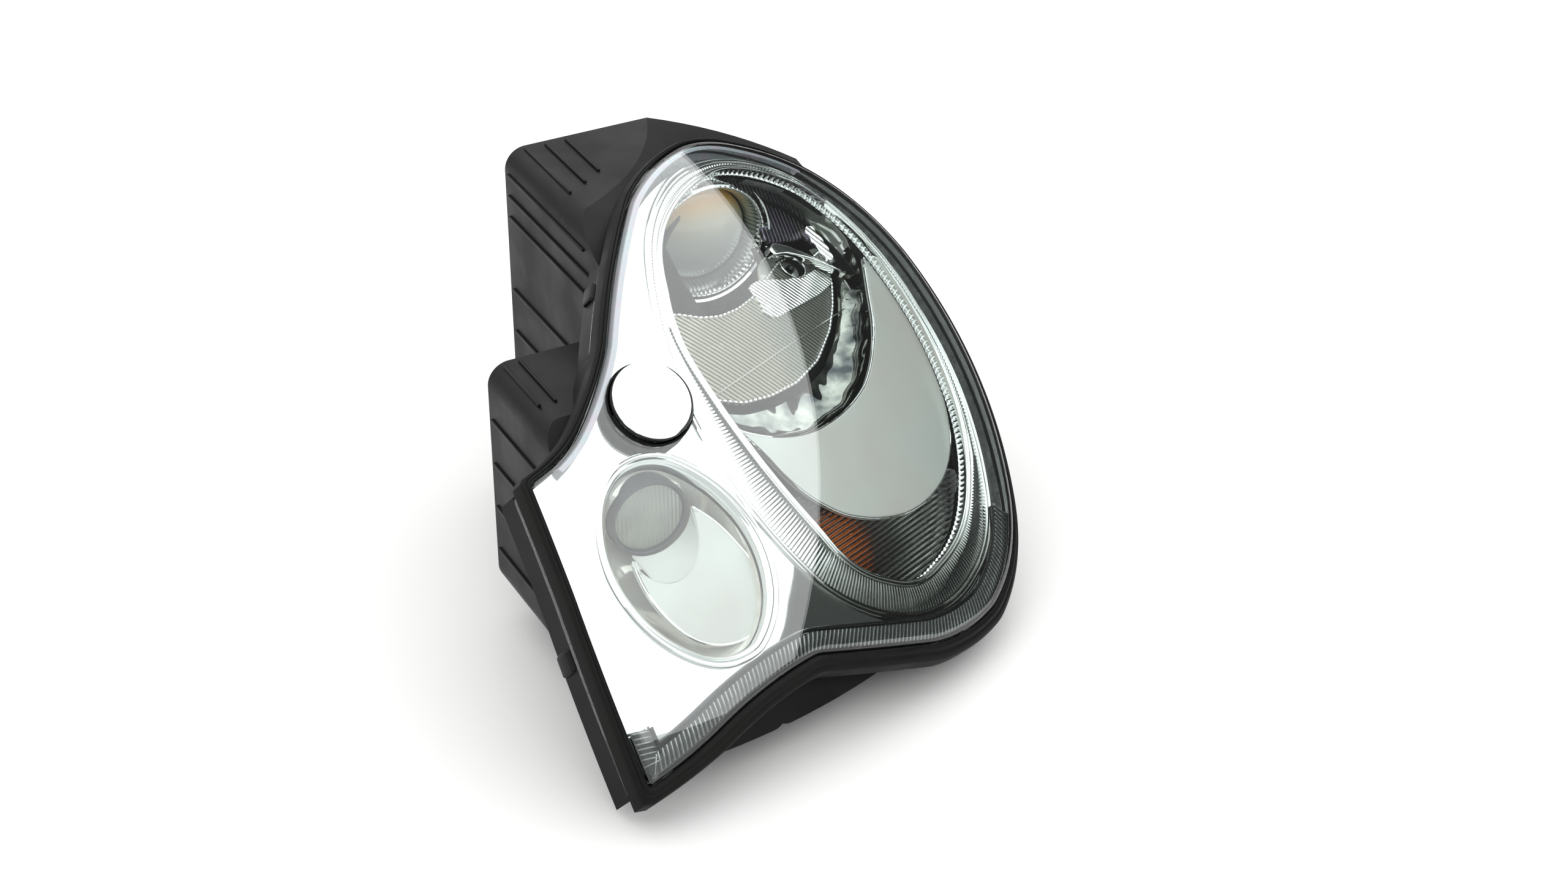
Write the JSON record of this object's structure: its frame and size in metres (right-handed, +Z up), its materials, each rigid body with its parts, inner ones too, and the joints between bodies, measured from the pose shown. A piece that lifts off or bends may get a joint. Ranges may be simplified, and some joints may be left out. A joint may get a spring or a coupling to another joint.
{
  "type": "headlamp",
  "caption": "Wraparound headlamp unit with a bubble lens, projector and high beam in one oval, fog lamp in another, indicator, pop-out washer and serviceable rear housing.",
  "frame": {"origin": "centre of the bore in the lock lug under the housing", "axes": "+Z up, -Y towards the front of the car, +X towards the left-hand side of the car, along the lock lug bore"},
  "size_m": [0.3985, 0.4694, 0.2917],
  "materials": {
    "clear_lens": "clear moulded polycarbonate, gloss hard coat",
    "black_rubber": "black rubber, slightly dusty",
    "mirror_chrome": "vacuum-metallised mirror",
    "satin_silver": "satin silver with a faint pearl",
    "fluted_grey": "ribbed grey reflector band",
    "fluted_clear": "clear fluted polycarbonate",
    "amber_glass": "amber glass",
    "projector_glass": "polished thick glass",
    "smoked_chrome": "metallised flutes that read dark",
    "black_plastic": "moulded black, fine texture",
    "grey_plastic": "moulded grey",
    "white_plastic": "natural white nylon",
    "zinc_steel": "zinc-plated steel"
  },
  "bodies": {
    "housing": {"housing": "black_plastic", "housing_frame": "black_plastic", "fog_housing": "black_plastic", "lens_cover": "clear_lens", "lens_seal": "black_rubber", "bezel": "mirror_chrome", "main_rim": "mirror_chrome", "fog_rim": "mirror_chrome", "main_plate": "satin_silver", "fog_plate": "satin_silver", "light_strip": "fluted_grey", "indicator_reflector": "mirror_chrome", "indicator_lens": "fluted_clear", "indicator_bulb": "amber_glass", "washer_tube": "black_plastic", "pivot_post_1": "grey_plastic", "pivot_post_2": "grey_plastic", "pivot_post_3": "grey_plastic", "pivot_post_4": "grey_plastic", "lock_lug": "black_plastic", "guide_rail_right": "black_plastic", "guide_rail_left": "black_plastic", "guide_pin_right": "zinc_steel", "guide_pin_left": "zinc_steel", "cover_pin": "zinc_steel", "connector_socket": "black_plastic", "levelling_motor": "grey_plastic", "aim_adjuster_upper": "white_plastic", "aim_adjuster_lower": "white_plastic", "fog_bulb_cap": "black_rubber", "vent_cap": "black_rubber"},
    "main_module": {"beam_carrier": "mirror_chrome", "projector_body": "mirror_chrome", "projector_lens": "projector_glass", "high_beam_lens": "fluted_clear", "high_beam_reflector": "mirror_chrome", "high_beam_bulb": "amber_glass", "top_reflector": "smoked_chrome"},
    "fog_module": {"fog_reflector": "mirror_chrome", "fog_lens": "fluted_clear"},
    "washer": {"washer_cap": "mirror_chrome", "washer_stem": "black_plastic"},
    "cover": {"rear_cover": "black_plastic"}
  },
  "joints": [
    {"name": "beam_aim", "type": "hinge", "parent": "housing", "child": "main_module", "pos_m": [0, -0.04, 0.15], "axis": [1, 0, 0], "range_deg": [-1, 2]},
    {"name": "fog_aim", "type": "hinge", "parent": "housing", "child": "fog_module", "pos_m": [-0.155, -0.215, 0.095], "axis": [1, 0, 0], "range_deg": [-1, 2]},
    {"name": "washer_extend", "type": "slide", "parent": "housing", "child": "washer", "axis": [0.0916, -0.597, 0.797], "range_m": [0, 0.06]},
    {"name": "cover_hinge", "type": "hinge", "parent": "housing", "child": "cover", "pos_m": [-0.01, 0.066, 0.1], "axis": [-1, 0, 0], "range_deg": [0, 110]}
  ]
}
